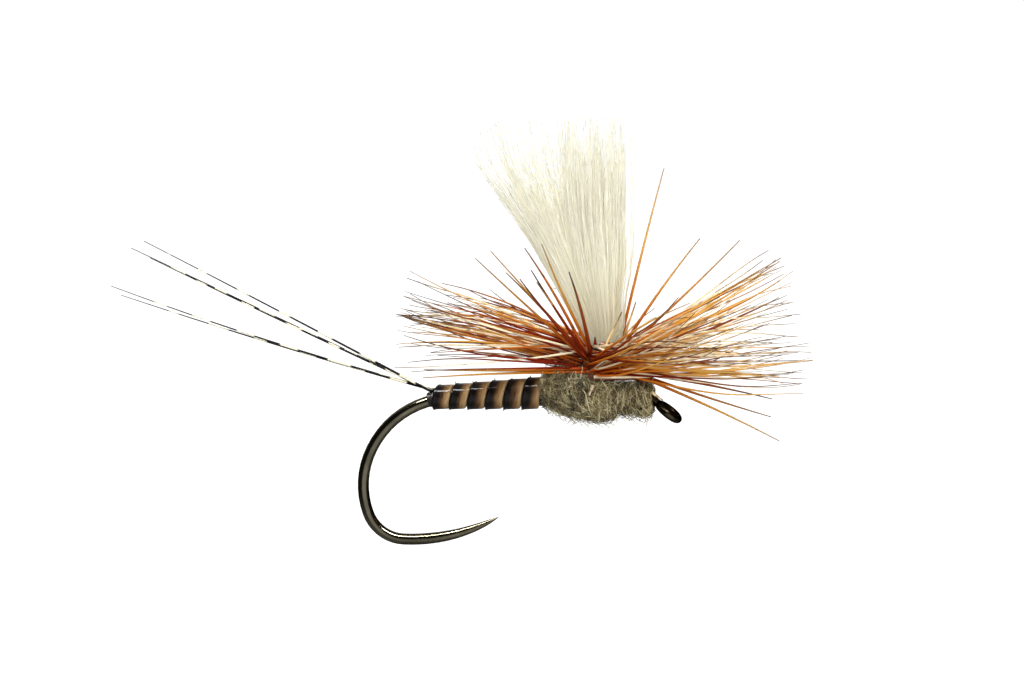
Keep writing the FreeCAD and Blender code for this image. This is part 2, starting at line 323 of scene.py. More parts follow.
def barred(material, length, shade, period, wander):
    """From 0 to 1 and back along a fibre, in bars of uneven length."""
    drift = noise(material, place_of(material, length, shade, second_scale=40.0), 0.9, 1.0)
    turn = maths(material, "MULTIPLY", length, 2 * math.pi / period)
    turn = maths(material, "MULTIPLY_ADD", drift, wander, turn)
    turn = maths(material, "MULTIPLY_ADD", shade, 23.0, turn)
    return maths(material, "MULTIPLY_ADD", maths(material, "SINE", turn), 0.5, 0.5)


def grizzly_barb():
    """Cream barbs with faint dark bars, ginger at the root and dark at the tip."""
    material, shader = new_material("grizzly_barb", Roughness=0.45, Specular_IOR_Level=0.1)
    along = attribute(material, "along")
    shade = attribute(material, "shade")
    bars = barred(material, attribute(material, "length"), shade, 2.6, 8.0)
    pale = ramp(material, shade, [
        (0.0, 174, 92, 22),
        (0.25, 224, 168, 84),
        (0.50, 240, 208, 146),
        (1.0, 247, 230, 194),
    ])
    root = grey_ramp(material, along, [(0.03, 1.0), (0.34, 0.0)])
    root = maths(material, "MULTIPLY", root, maths(material, "SUBTRACT", 1.0, shade))
    pale = blend(material, root, pale, tint(168, 68, 8))
    dark = ramp(material, along, [(0.0, 96, 40, 12), (1.0, 104, 76, 54)])
    mask = grey_ramp(material, bars, [(0.78, 0.0), (1.0, 0.6)])
    tips = grey_ramp(material, along, [(0.70, 0.0), (0.94, 1.0)])
    mask = blend(material, 1.0, mask, tips, "LIGHTEN")
    return paint(material, shader, blend(material, mask, pale, dark))


def hackle_stem(name, dark, light):
    material, shader = new_material(name, Roughness=0.35, Coat_Weight=0.2, Coat_Roughness=0.15)
    grain = noise(material, stretched(material, object_place(material), (2500.0, 2500.0, 8000.0)), 1.0)
    raise_surface(material, shader, grain, 0.00002, 0.5)
    return paint(material, shader, ramp(material, grain, [(0.35, *dark), (0.7, *light)]))


def dubbing_fibre():
    """Olive grey fur, each fibre of a shade of its own."""
    material, shader = new_material(
        "dubbing_fibre", Roughness=0.7, Specular_IOR_Level=0.2, Sheen_Weight=0.1
    )
    colour = ramp(material, attribute(material, "shade"), [
        (0.0, 42, 35, 17),
        (0.30, 88, 77, 45),
        (0.62, 142, 128, 87),
        (0.86, 188, 173, 127),
        (1.0, 222, 210, 168),
    ])
    return paint(material, shader, colour)


def dubbing_core():
    material, shader = new_material("dubbing_core", Roughness=0.85)
    wool = noise(material, object_place(material), 5200.0, 5.0)
    colour = ramp(material, wool, [(0.32, 28, 24, 14), (0.7, 74, 66, 44)])
    raise_surface(material, shader, wool, 0.00008)
    return paint(material, shader, colour)


def barred_tail():
    """Cream fibres with crisp black bars that grow towards the black tip."""
    material, shader = new_material("barred_tail", Roughness=0.4, Specular_IOR_Level=0.1)
    along = attribute(material, "along")
    bars = barred(material, attribute(material, "length"), attribute(material, "shade"), 1.9, 3.0)
    bars = maths(material, "MULTIPLY_ADD", along, 0.22, bars)
    mask = grey_ramp(material, bars, [(0.30, 0.0), (0.42, 1.0)])
    tips = grey_ramp(material, along, [(0.90, 0.0), (0.93, 1.0)])
    mask = blend(material, 1.0, mask, tips, "LIGHTEN")
    colour = blend(material, mask, tint(232, 226, 198), tint(9, 7, 6))
    return paint(material, shader, colour)


# ---- meshes

# How many sides a strand has, by how thick it is
FINE_SIDES = 3
ROUND_SIDES = 6
TAIL_SIDES = 8


def unit(vectors):
    return vectors / np.maximum(np.linalg.norm(vectors, axis=-1, keepdims=True), 1e-12)


def ring_axes(lines):
    """Two unit vectors square to each line at each of its points, carried along without twist."""
    tangent = unit(np.gradient(lines, axis=1))
    steep = np.abs(tangent[:, 0, 2:]) > 0.9
    helper = np.where(steep, (1.0, 0.0, 0.0), (0.0, 0.0, 1.0))
    side = np.empty_like(lines)
    side[:, 0] = unit(np.cross(tangent[:, 0], helper))
    for step in range(1, lines.shape[1]):
        carried = side[:, step - 1]
        ahead = tangent[:, step]
        side[:, step] = unit(carried - (carried * ahead).sum(-1, keepdims=True) * ahead)
    return side, np.cross(tangent, side)


def tube_mesh(lines, radii, sides, flatness=1.0):
    """Closed tapered tubes along many lines at once, in millimetres: points and faces."""
    side, up = ring_axes(lines)
    angles = np.arange(sides)[:, None] * (2 * math.pi / sides)
    rings = side[:, :, None] * np.cos(angles) + flatness * up[:, :, None] * np.sin(angles)
    points = lines[:, :, None] + radii[:, :, None, None] * rings
    index = np.arange(points.size // 3).reshape(points.shape[:3])
    beside = np.roll(index, -1, axis=2)
    walls = np.stack((index[:, :-1], beside[:, :-1], beside[:, 1:], index[:, 1:]), axis=-1)
    butts = index[:, 0, ::-1]
    tips = index[:, -1]
    faces = walls.reshape(-1, 4).tolist() + butts.tolist() + tips.tolist()
    return points.reshape(-1, 3), faces


def mesh_object(name, points, faces, material):
    """An object from points in millimetres."""
    mesh = bpy.data.meshes.new(name)
    mesh.from_pydata((np.array(points) * MM).tolist(), [], faces)
    mesh.update()
    mesh.materials.append(material)
    thing = bpy.data.objects.new(name, mesh)
    bpy.context.scene.collection.objects.link(thing)
    return thing


def new_piece(name, points, faces, material, node, values=None):
    """A piece of the fly in place of a CAD node, with a value per point for each name in values."""
    piece = mesh_object(name, points, faces, material)
    piece.data.shade_smooth()
    for key, numbers in (values or {}).items():
        layer = piece.data.attributes.new(key, "FLOAT", "POINT")
        layer.data.foreach_set("value", np.asarray(numbers, np.float32).ravel())
    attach(piece, "root")
    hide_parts(node)


def strand_piece(name, lines, radii, shades, sides, material, node, flatness=1.0):
    """Many strands as one piece. Each point knows how far along its strand it lies, from 0 to 1
    and in millimetres, and each strand has a shade of its own."""
    count, steps = lines.shape[:2]
    points, faces = tube_mesh(lines, radii, sides, flatness)
    travelled = np.zeros((count, steps))
    travelled[:, 1:] = np.linalg.norm(np.diff(lines, axis=1), axis=2).cumsum(axis=1)
    values = {
        "along": np.repeat(travelled / travelled[:, -1:], sides),
        "length": np.repeat(travelled, sides),
        "shade": np.repeat(shades, steps * sides),
    }
    new_piece(name, points, faces, material, node, values)


def dress(name, material, smooth=False):
    """Give a CAD node this material in place of its own."""
    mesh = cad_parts[name].data
    mesh.materials.clear()
    mesh.materials.append(material)
    if smooth:
        mesh.shade_smooth()


def bowed(roots, tips, bows, steps):
    """Lines from roots to tips, pushed out by bows at their middles."""
    t = np.linspace(0.0, 1.0, steps)[None, :, None]
    return roots[:, None] * (1 - t) + tips[:, None] * t + bows[:, None] * (4 * t * (1 - t))


def tapered(count, steps, butt, tip, power=1.3):
    """Radii that run from butt to tip along every strand."""
    t = np.linspace(0.0, 1.0, steps) ** power
    return np.broadcast_to(butt + (tip - butt) * t, (count, steps)).copy()


# ---- thread

THREAD_R = 0.028

# Each winding: where it starts and ends, and the radii that it is wound at on the way
TAIL_TIE = ((-9.60, 0, 0.46), (-9.28, 0, 0.52), (0.26, 0.32, 0.36))
HEAD_WRAP = ((-2.0, 0, SHANK_Z), (-0.62, 0, SHANK_Z), (0.34, 0.34, 0.34, 0.22))
POST_WRAP = ((POST_X, 0, 0.86), (POST_X, 0, 2.70), (0.53, 0.53))

# How far apart the turns lie and how much they wobble, in thread radii
WRAP_PITCH = 1.75
WRAP_WOBBLE = 0.25
STEPS_PER_WRAP = 26


def winding(name, course, material, node, seed):
    """Thread wound in touching turns round the axis from start to end."""
    start, end, radii = course
    axis = np.array(end) - np.array(start)
    length = np.linalg.norm(axis)
    ahead = axis / length
    side = unit(np.cross(ahead, (0.0, 1.0, 0.0)))
    up = np.cross(ahead, side)
    turns = length / (WRAP_PITCH * THREAD_R)
    steps = int(turns * STEPS_PER_WRAP)
    share = np.linspace(0.0, 1.0, steps)
    angle = share * turns * 2 * math.pi
    marks = np.arange(int(turns) + 2)
    wobble = seeded(seed).normal(0, WRAP_WOBBLE * THREAD_R, len(marks))
    radius = np.interp(share, np.linspace(0, 1, len(radii)), radii)
    radius = radius + np.interp(share * turns, marks, wobble)
    line = np.array(start) + share[:, None] * axis
    line = line + radius[:, None] * (side * np.cos(angle)[:, None] + up * np.sin(angle)[:, None])
    thick = np.full((1, steps), THREAD_R)
    shade = np.array([0.5])
    strand_piece(name, line[None], thick, shade, ROUND_SIDES, material, node)


def build_thread():
    material = tying_thread()
    for name in ("thread_base", "underbody_wraps"):
        dress(name, material)
    winding("tail_tie_thread", TAIL_TIE, material, "tail_tie_wraps", 2)
    winding("head_thread", HEAD_WRAP, material, "head_wraps", 3)
    winding("post_thread", POST_WRAP, material, "post_wraps", 4)


# ---- quill body

# The wound body's ends and the radii there under the quill
BODY_REAR = np.array([-9.38, 0.0, 0.56])
BODY_FRONT = np.array([-4.70, 0.0, 0.755])
BODY_CORE_R = (0.365, 0.555)

# The quill: how far each turn moves on, its width and thickness, how far its rear edge is raised, the
# ridge there, the places across it that have points, how much of a turn comes before the first full
# one, and how ragged its edge is
QUILL_PITCH = 0.73
QUILL_WIDTH = 0.70
QUILL_THICK = 0.085
QUILL_LIFT = 0.035
QUILL_RIDGE = 0.022
QUILL_ACROSS = (0.0, 0.02, 0.06, 0.12, 0.2, 0.32, 0.45, 0.6, 0.75, 0.88, 0.96, 1.0)
QUILL_LEAD = 0.55
QUILL_RAGGED = 0.010
QUILL_MEAN_R = 0.5
STEPS_PER_TURN = 72
RAGGED_STEP = 9

# The stubs of barb: how many, the height that they point away from, how far they stand out, how
# much they lean back and their radii
BURRS = 18
BURR_AXIS_Z = 0.62
BURR_REACH = (0.04, 0.13)
BURR_LEAN = (0.2, 1.3)
BURR_R = (0.030, 0.006)


def quill_ring(rear, width):
    """One cross section of the quill: across shares, then the points' distances along and out."""
    across = np.array(QUILL_ACROSS + (1.0, 0.5, 0.0))
    is_outer = np.arange(across.size) < len(QUILL_ACROSS)
    ridge = QUILL_RIDGE * np.exp(-(((across - 0.05) / 0.06) ** 2))
    rounding = QUILL_THICK * 0.7 * (np.exp(-across / 0.012) + np.exp(-(1 - across) / 0.03))
    out = QUILL_LIFT * (1 - across) + np.where(is_outer, QUILL_THICK + ridge - rounding, 0.0)
    return across, rear + width * across, out


def build_quill(material):
    """The stripped quill wound forward in touching turns, dark along the rear edge of each turn."""
    stream = seeded(10)
    axis = BODY_FRONT - BODY_REAR
    length = np.linalg.norm(axis)
    ahead = axis / length
    up = np.cross(ahead, (0.0, 1.0, 0.0))
    near = np.array([0.0, -1.0, 0.0])
    turns = (length - QUILL_WIDTH) / QUILL_PITCH + QUILL_LEAD
    steps = int(turns * STEPS_PER_TURN)
    angles = np.linspace(-QUILL_LEAD, turns - QUILL_LEAD, steps) * 2 * math.pi
    marks = np.arange(0, steps + RAGGED_STEP, RAGGED_STEP)
    ragged = np.interp(np.arange(steps), marks, stream.normal(0, QUILL_RAGGED, len(marks)))
    points = []
    shares = []
    for angle, jitter in zip(angles, ragged):
        # The quill starts narrow, and its first turn doesn't run back over the tail
        grown = min(1.0, (angle - angles[0]) / (0.5 * math.pi) + 0.25)
        rear = max(QUILL_PITCH * angle / (2 * math.pi), -0.05) + jitter
        across, travel, out = quill_ring(rear, QUILL_WIDTH * grown)
        core = np.interp(travel, (0, length), BODY_CORE_R)
        radius = (core + out)[:, None]
        way = near * math.cos(angle) + up * math.sin(angle)
        points.append(BODY_REAR + travel[:, None] * ahead + radius * way)
        shares.append(across)
    points = np.array(points)
    ring = points.shape[1]
    index = np.arange(steps * ring).reshape(steps, ring)
    beside = np.roll(index, -1, axis=1)
    walls = np.stack((index[:-1], index[1:], beside[1:], beside[:-1]), axis=-1)
    faces = walls.reshape(-1, 4).tolist() + [index[0].tolist(), index[-1, ::-1].tolist()]
    values = {"across": np.array(shares), "along": np.repeat(angles * QUILL_MEAN_R, ring)}
    new_piece("quill_wraps", points.reshape(-1, 3), faces, material,
              "quill_body", values)
    build_burrs(points, stream)


def build_burrs(points, stream):
    """Stubs of the stripped barbs, which stand on the rear edge of the quill here and there."""
    at = stream.integers(STEPS_PER_TURN, len(points), BURRS)
    roots = points[at, 2]
    outward = unit(roots * (0, 1, 1) - (0, 0, BURR_AXIS_Z))
    lean = stream.uniform(*BURR_LEAN, BURRS)[:, None]
    ways = unit(outward - lean * (1, 0, 0))
    tips = roots + ways * stream.uniform(*BURR_REACH, BURRS)[:, None]
    lines = bowed(roots - outward * 0.04, tips, stream.normal(0, 0.01, (BURRS, 3)), 5)
    radii = tapered(BURRS, 5, *BURR_R, 1.0)
    shades = stream.uniform(0, 1, BURRS)
    strand_piece("quill_burrs", lines, radii, shades, ROUND_SIDES, quill_burr(),
                 "quill_body")


# ---- wing

# Levels of each tuft: height, its middle along the hook, and its half widths along and across
POST_LEVELS = [(0.85, POST_X, 0.40, 0.40), (2.60, POST_X, 0.42, 0.42)]
FRONT_LEVELS = POST_LEVELS + [
    (3.05, -2.42, 0.55, 0.52),
    (4.45, -2.55, 0.74, 0.72),
    (5.80, -2.68, 1.10, 0.88),
    (8.00, -2.86, 1.38, 1.05),
    (WING_TOP, -2.90, 1.62, 1.25),
]
REAR_LEVELS = POST_LEVELS + [
    (3.05, -2.95, 0.46, 0.48),
    (4.45, -3.45, 0.66, 0.62),
    (6.84, -4.48, 0.94, 0.82),
    (9.80, -5.76, 1.86, 1.05),
    (WING_TOP, -6.15, 2.15, 1.20),
]

# How far below a tuft's top its fibres end: the least, how much more at most, a power that puts most
# of them low, and a limit. A lock's fibres share a difference, and a few reach higher.
TIPS_BELOW = 0.9
TIPS_SPREAD = 4.6
TIPS_POWER = 0.6
TIPS_LOWEST = 5.6
LOCK_TIPS = (-0.4, 0.7)
LONG_SHARE = 0.065
LONG_TIPS = (0, 1.3)

# The share of the fibres that may stand out of the tuft, and how far
WILD_SHARE = 0.05
WILD_REACH = 1.3

# Fibres draw together in locks, more and more from the height GRIP_FROM up, over GRIP_OVER
LOCKS = 22
LOCK_PULL = 0.36
GRIP_FROM = 4.0
GRIP_OVER = 7.0

# The waves along the fibres, which grow from the height WAVE_FROM up, over WAVE_OVER
WAVE_SIZE = 0.05
WAVE_FROM = 3.0
WAVE_OVER = 6.0
WAVE_TURN = (0.6, 1.8)
YARN_R = (0.0130, 0.010)


def tip_depths(u, lock, fall, stream):
    """How far below the tuft's top each fibre would end. Fibres at the rear end lower by fall."""
    count = len(u)
    lock_tips = stream.uniform(*LOCK_TIPS, LOCKS)[lock]
    depths = TIPS_BELOW + TIPS_SPREAD * stream.uniform(0, 1, count) ** TIPS_POWER + lock_tips
    is_long = stream.uniform(0, 1, count) < LONG_SHARE
    depths = np.where(is_long, stream.uniform(*LONG_TIPS, count), depths)
    return depths + fall * np.clip(-u, 0, 1)


def tuft_lines(levels, count, fall, gather, stream, steps=12):
    """Fine fibres that fill a tuft's levels, gathered to its middle, and thin out to its tips."""
    heights, middles, halves_x, halves_y = np.array(levels).T
    spread = stream.uniform(0, 1, count) ** gather
    spread = spread * np.where(stream.uniform(0, 1, count) < WILD_SHARE, WILD_REACH, 1.0)
    around = stream.uniform(0, 2 * math.pi, count)
    u, v = spread * np.cos(around), spread * np.sin(around)
    lock_u, lock_v = stream.uniform(-0.9, 0.9, (2, LOCKS))
    gap = (u[:, None] - lock_u) ** 2 + (v[:, None] - lock_v) ** 2
    lock = gap.argmin(axis=1)
    root = heights[0] + stream.uniform(0, 0.4, count)
    top = heights[-1] - np.minimum(tip_depths(u, lock, fall, stream), TIPS_LOWEST)
    t = np.linspace(0, 1, steps)[None, :]
    z = root[:, None] + (top - root)[:, None] * t
    grip = LOCK_PULL * np.clip((z - GRIP_FROM) / GRIP_OVER, 0, 1) ** 1.6
    u_at = u[:, None] * (1 - grip) + lock_u[lock][:, None] * grip
    v_at = v[:, None] * (1 - grip) + lock_v[lock][:, None] * grip
    wave_size = WAVE_SIZE * np.clip((z - WAVE_FROM) / WAVE_OVER, 0, 1)
    wave = wave_size * np.sin(z * stream.uniform(*WAVE_TURN, count)[:, None] + around[:, None])
    x = np.interp(z, heights, middles) + u_at * np.interp(z, heights, halves_x) + wave
    y = v_at * np.interp(z, heights, halves_y) + wave[:, ::-1] * 0.7
    return np.stack((x, y, z), axis=-1)


def build_tuft(name, levels, count, fall, gather, seed, material, node):
    stream = seeded(seed)
    lines = tuft_lines(levels, count, fall, gather, stream)
    girth = stream.uniform(0.75, 1.25, count)[:, None]
    radii = tapered(count, lines.shape[1], *YARN_R, 2.5) * girth
    shades = stream.uniform(0, 1, count)
    strand_piece(name, lines, radii, shades, FINE_SIDES, material, node)


# The bound yarn: how many fibres, where along the hook they start, and by the share of their way:
# how far to the post they have come, how high they are and how wide the bundle is
BUTTS = 220
BUTTS_START = (-8.2, -5.2)
BUTT_TURN = 0.62
BUTT_SHARES = (0, BUTT_TURN, 0.72, 1.0)
BUTT_AHEAD = (0.0, 0.92, 1.0, 1.0)
BUTT_HEIGHTS = (0.80, 0.93, 1.25, 2.95)
BUTT_WIDTHS = (0.08, 0.26, 0.38)
BUTT_WIDTH_SHARES = (0, 0.6, 1.0)
BUTT_R = 0.016


def build_butts(material):
    """The yarn's butts, bound back along the shank, and the post that they turn up into."""
    stream = seeded(22)
    around = stream.uniform(0, 2 * math.pi, BUTTS)
    spread = np.sqrt(stream.uniform(0, 1, BUTTS))
    start_x = stream.uniform(*BUTTS_START, BUTTS)[:, None]
    t = np.linspace(0, 1, 14)
    ahead = np.interp(t, BUTT_SHARES, BUTT_AHEAD)
    width = np.interp(t, BUTT_WIDTH_SHARES, BUTT_WIDTHS)
    off_middle = (spread * np.cos(around))[:, None] * width
    x = start_x + (POST_X - start_x) * ahead + off_middle
    y = (spread * np.sin(around))[:, None] * width
    z = np.interp(t, BUTT_SHARES, BUTT_HEIGHTS) + off_middle * np.where(t < BUTT_TURN, 0.5, 0.1)
    lines = np.stack((x, y, z), axis=-1)
    radii = tapered(BUTTS, len(t), BUTT_R, BUTT_R)
    shades = stream.uniform(0, 0.6, BUTTS)
    strand_piece("wing_butts", lines, radii, shades, FINE_SIDES, material, "wing_hank")


def build_wing():
    material = wing_yarn()
    build_tuft("wing_front", FRONT_LEVELS, 2300, 0.0, 0.5, 20, material, "wing_tuft_front")
    build_tuft("wing_rear", REAR_LEVELS, 1000, 0.5, 0.54, 21, material, "wing_tuft_rear")
    build_butts(material)


# ---- hackle

# The barbs: how many to a turn, their radii, flatness and lengths, how far they wave, and how far
# outside the middle of their stem they start
BARBS_PER_TURN = 40
BARB_BUTT_R = 0.058
BARB_TIP_R = 0.016
BARB_FLATNESS = 0.8
BARB_LONGEST = 7.9
BARB_SHORTEST = 5.0
BARB_WAVE = 0.09
WAVES_PER_BARB = (0.8, 1.9)
OUTSIDE_STEM = 0.06

# Barbs that stand alone are this much thicker
STRAY_GIRTH = 1.5

# Behind the post the roots lie no lower than REAR_LOWEST, and they climb to it over these shares
REAR_LOWEST = 1.74
REAR_SHARES = (0.5, 0.62)

# Barbs hang together in locks: how many to a turn, how much of a barb's place is its lock's, and
# how far a lock may rise or fall, as a multiple of the fan's spread
LOCKS_PER_TURN = 11
LOCK_HOLD = 0.75
LOCK_SWAY = 1.5

# How far single barbs stray from their lock, in degrees and millimetres, and the limits of the rise
HEADING_JITTER = 3.0
RISE_JITTER = 2.2
SIDE_BOW = 0.26
UP_BOW = 0.19
RISE_LIMITS = (-7, 31)

# Barbs ahead are paler than the mean by this much, and ones behind darker. The smaller SHADE_MIX
# is, the more barbs are either very dark or very pale.
PALER_AHEAD = 0.13
SHADE_MIX = 0.6

# The disc of barbs, by the share of the barbs: their heading in degrees from ahead by the far side,
# how steeply they rise and the spread of that, how far back round the post their roots lie, and how
# far they bow upwards in millimetres
FAN_SHARES = (0.00, 0.22, 0.40, 0.50, 0.60, 0.78, 0.96, 1.00)
FAN_HEADINGS = (-50, -8, 36, 74, 122, 158, 206, 232)
FAN_RISES = (17, 9, 9, 2, 3, 7, 10, 15)
FAN_SPREADS = (6, 11, 11, 6, 6, 9, 8, 5)
FAN_SWEEPS = (74, 62, 38, 34, 34, 34, 30, 30)
FAN_BOWS = (-0.25, -0.14, 0.05, 0.05, 0.05, 0.08, 0.02, 0.0)


def directions(headings, rises):
    plan, lift = np.radians(headings), np.radians(rises)
    return np.stack((np.cos(plan) * np.cos(lift), np.sin(plan) * np.cos(lift), np.sin(lift)), axis=-1)


def fan_roots(headings, sweeps, heights):
    """Where barbs leave the outside of their stem, whose turns go round the post."""
    at = np.radians(headings - sweeps)
    reach = STEM_ORBIT_R + OUTSIDE_STEM
    return np.stack((POST_X + reach * np.cos(at), reach * np.sin(at), heights), axis=-1)


def fan_angles(stream):
    """Headings and rises of one turn's barbs, which hang together in locks."""
    count = BARBS_PER_TURN
    share = (np.arange(count) + stream.uniform(0, 1, count)) / count
    locks = LOCKS_PER_TURN
    lock_share = (np.arange(locks) + stream.uniform(0.1, 0.9, locks)) / locks
    lock = np.abs(share[:, None] - lock_share).argmin(axis=1)
    sway = stream.uniform(-LOCK_SWAY, LOCK_SWAY, locks)
    lock_rise = np.interp(lock_share, FAN_SHARES, FAN_SPREADS) * sway
    rises = np.interp(share, FAN_SHARES, FAN_RISES) + lock_rise[lock]
    rises = rises + stream.normal(0, RISE_JITTER, count)
    share = (1 - LOCK_HOLD) * share + LOCK_HOLD * lock_share[lock]
    headings = np.interp(share, FAN_SHARES, FAN_HEADINGS) + stream.normal(0, HEADING_JITTER, count)
    return share, headings, np.clip(rises, *RISE_LIMITS)


def fan_lines(first_z, stream, steps=16):
    """The barbs of one turn of stem, as a fan all round the post but for the near side."""
    count = BARBS_PER_TURN
    share, headings, rises = fan_angles(stream)
    sweeps = np.interp(share, FAN_SHARES, FAN_SWEEPS) * stream.uniform(0.75, 1.25, count)
    heights = first_z + STEM_PITCH * stream.uniform(0, 1, count)
    heights = np.maximum(heights, np.interp(share, REAR_SHARES, (first_z, REAR_LOWEST)))
    roots = fan_roots(headings, sweeps, heights)
    lengths = np.maximum(BARB_LONGEST - stream.gamma(1.2, 0.45, count), BARB_SHORTEST)
    ways = directions(headings, rises)
    tips = roots + ways * lengths[:, None]
    sideways = unit(np.cross((0.0, 0.0, 1.0), ways))
    bows = sideways * stream.normal(0, SIDE_BOW, count)[:, None]
    bows[:, 2] += np.interp(share, FAN_SHARES, FAN_BOWS) + stream.normal(0, UP_BOW, count)
    return bowed(roots, tips, bows, steps)


def waved(lines, stream):
    """Barbs with a slight wave along each, from nothing at its root."""
    count, steps = lines.shape[:2]
    t = np.linspace(0.0, 1.0, steps)
    waves = stream.uniform(*WAVES_PER_BARB, (2, count, 1))
    phases = stream.uniform(0, 2 * math.pi, (2, count, 1))
    sizes = BARB_WAVE * stream.uniform(0.1, 1.0, (2, count, 1))
    sideways, upward = sizes * t * np.sin(2 * math.pi * waves * t + phases)
    return lines + np.stack((np.zeros_like(upward), sideways, upward), axis=-1)


def stray_lines(rows, stream, steps=16):
    """Barbs that stand on their own, each from its root to its tip."""
    rows = np.array(rows)
    lengths = np.linalg.norm(rows[:, 3:6] - rows[:, :3], axis=1)
    bows = stream.normal(0, 0.012, (len(rows), 3)) * lengths[:, None]
    return bowed(rows[:, :3], rows[:, 3:6], bows, steps)


# Barbs that stand apart from the fans: root, tip and shade
BROWN_STRAYS = [
    (-1.95, 0.40, 2.60, -0.13, 1.00, 9.55, 0.80),
    (-1.90, 0.30, 2.40, 1.16, 1.60, 6.68, 0.60),
    (-1.92, 0.10, 2.30, 2.79, 1.30, 6.65, 0.50),
    (-1.95, -0.20, 2.20, 4.62, -0.40, 6.15, 0.30),
    (-1.95, 0.30, 2.05, 4.50, 0.20, 5.95, 0.60),
    (-1.45, 0.38, 1.46, 4.30, 0.60, -1.25, 0.75),
    (-1.45, 0.42, 1.50, 4.00, 0.90, 0.38, 0.10),
    (-1.45, 0.40, 1.52, 3.93, 1.00, -0.35, 0.30),
    (-2.90, -0.68, 2.40, -4.47, -2.60, 7.00, 0.70),
    (-2.95, -0.66, 2.35, -3.37, -2.90, 5.94, 0.10),
    (-3.10, -0.64, 2.30, -4.93, -2.50, 5.97, 0.00),
    (-3.15, -0.60, 2.25, -5.98, -2.20, 5.83, 0.20),
    (-3.18, -0.58, 2.20, -7.27, -1.80, 6.36, 0.40),
    (-3.20, -0.52, 2.30, -6.71, -1.40, 6.58, 0.50),
    (-3.15, -0.62, 2.20, -5.40, -2.40, 5.60, 0.00),
    (-3.20, -0.50, 1.80, -9.53, -1.20, 1.85, 0.40),
    (-3.20, -0.45, 1.65, -9.63, -1.00, 1.49, 0.75),
    (-2.78, -0.60, 2.74, -2.77, -0.62, 3.07, 0.00),
]
GRIZZLY_STRAYS = [
    (-2.77, -0.80, 1.82, -1.62, -1.00, 4.11, 0.50),
    (-2.81, -0.85, 1.51, -0.22, -0.70, 1.50, 0.95),
    (-3.10, -0.62, 2.30, -5.18, -2.40, 6.82, 0.00),
    (-3.12, -0.60, 2.20, -4.70, -2.60, 5.50, 0.10),
    (-1.95, 0.30, 2.60, -1.30, 0.60, 4.30, 0.40),
    (-2.84, -0.92, 1.21, -3.00, -1.06, 0.74, 1.00),
    (-0.66, -0.20, 0.84, -0.16, -0.30, 0.50, 0.70),
]


def build_barbs(kind, feather, material, strays, pale_share):
    """The three turns of barbs of one feather. The strays go with the last one."""
    for turn in range(3):
        stream = seeded(30 + 3 * feather + turn)
        first_z = STACK_Z + STEM_PITCH * (turn + 0.5 * feather)
        lines = waved(fan_lines(first_z, stream), seeded(60 + 3 * feather + turn))
        ahead = lines[:, -1, 0] > lines[:, 0, 0]
        pale = pale_share + np.where(ahead, PALER_AHEAD, -PALER_AHEAD)
        shades = stream.beta(SHADE_MIX * pale, SHADE_MIX * (1 - pale))
        if turn == 2:
            lines = np.concatenate((lines, stray_lines(strays, stream)))
            shades = np.concatenate((shades, np.array(strays)[:, 6]))
        count, steps = lines.shape[:2]
        girth = stream.uniform(0.8, 1.15, count)[:, None]
        girth[BARBS_PER_TURN:] = STRAY_GIRTH
        radii = tapered(count, steps, BARB_BUTT_R, BARB_TIP_R, 1.4) * girth
        strand_piece(f"{kind}_barbs_{turn + 1}", lines, radii, shades, ROUND_SIDES, material,
                     f"{kind}_barbs_turn_{turn + 1}", BARB_FLATNESS)


def build_hackle():
    build_barbs("brown", 0, brown_barb(), BROWN_STRAYS, 0.42)
    build_barbs("grizzly", 1, grizzly_barb(), GRIZZLY_STRAYS, 0.54)
    brown = hackle_stem("brown_stem", (74, 24, 10), (132, 56, 22))
    cream = hackle_stem("grizzly_stem", (112, 56, 22), (176, 112, 60))
    dress("brown_hackle_stem", brown, smooth=True)
    dress("grizzly_hackle_stem", cream, smooth=True)


# ---- thorax

# The outline of each dubbed section: a place along the hook, the radius there and its middle's height
REAR_OUTLINE = [
    (-5.02, 0.58, 0.86),
    (-4.55, 0.84, 0.92),
    (-3.85, 0.97, 0.84),
    (-3.10, 0.96, 0.66),
    (-2.55, 0.84, 0.54),
    (-2.10, 0.64, 0.53),
]
FRONT_OUTLINE = [
    (-3.00, 0.60, 0.54),
    (-2.40, 0.60, 0.54),
    (-1.71, 0.58, 0.56),
    (-1.05, 0.67, 0.52),
    (-0.83, 0.69, 0.49),
    (-0.62, 0.44, 0.50),
]

# The outline's corners are eased this far to either side
OUTLINE_EASE = 0.16

# The core's radius and the loose fibres', as shares of the outline's
PACKED = 0.93
LOOSE = 0.97

# The core's lumps are a sum of waves round and along it
LUMP_WAVES = 7
LUMP_SIZE = 0.024
CORE_RINGS = 44
CORE_SIDES = 72

# How the loose fibres lie: their usual bearing off the hook's length, the spread of that, and how
# tightly they curl, all in radians
REAR_LIE = (1.1, 0.5, 0.16)
FRONT_LIE = (1.5, 0.35, 0.10)

# The share of them that head one way round, how far they go between two points, how much they
# wander there, and how far past their section's ends they may reach
SAME_WAY = 0.8
FUR_STRIDE = (0.05, 0.14)
FUR_WANDER = 0.12
PAST_ENDS = (-0.04, 0.10)

# The share of the loose fibres whose tips stand free, how far those do, and all fibres' radii
FREE_SHARE = 0.20
FREE_REACH = (0.05, 0.52)
FUR_R = (0.007, 0.0145)

# How pale the fibres are, how much they differ, and how much whole tufts of them do
REAR_PALENESS = 0.54
# The front section is paler than the rear: painted light that lifts the shade which the hackle casts on
# it.
FRONT_PALENESS_WITH_PAINTED_LIGHT = 0.58
SHADE_SPREAD = 0.31
TUFT_CONTRAST = 4.6


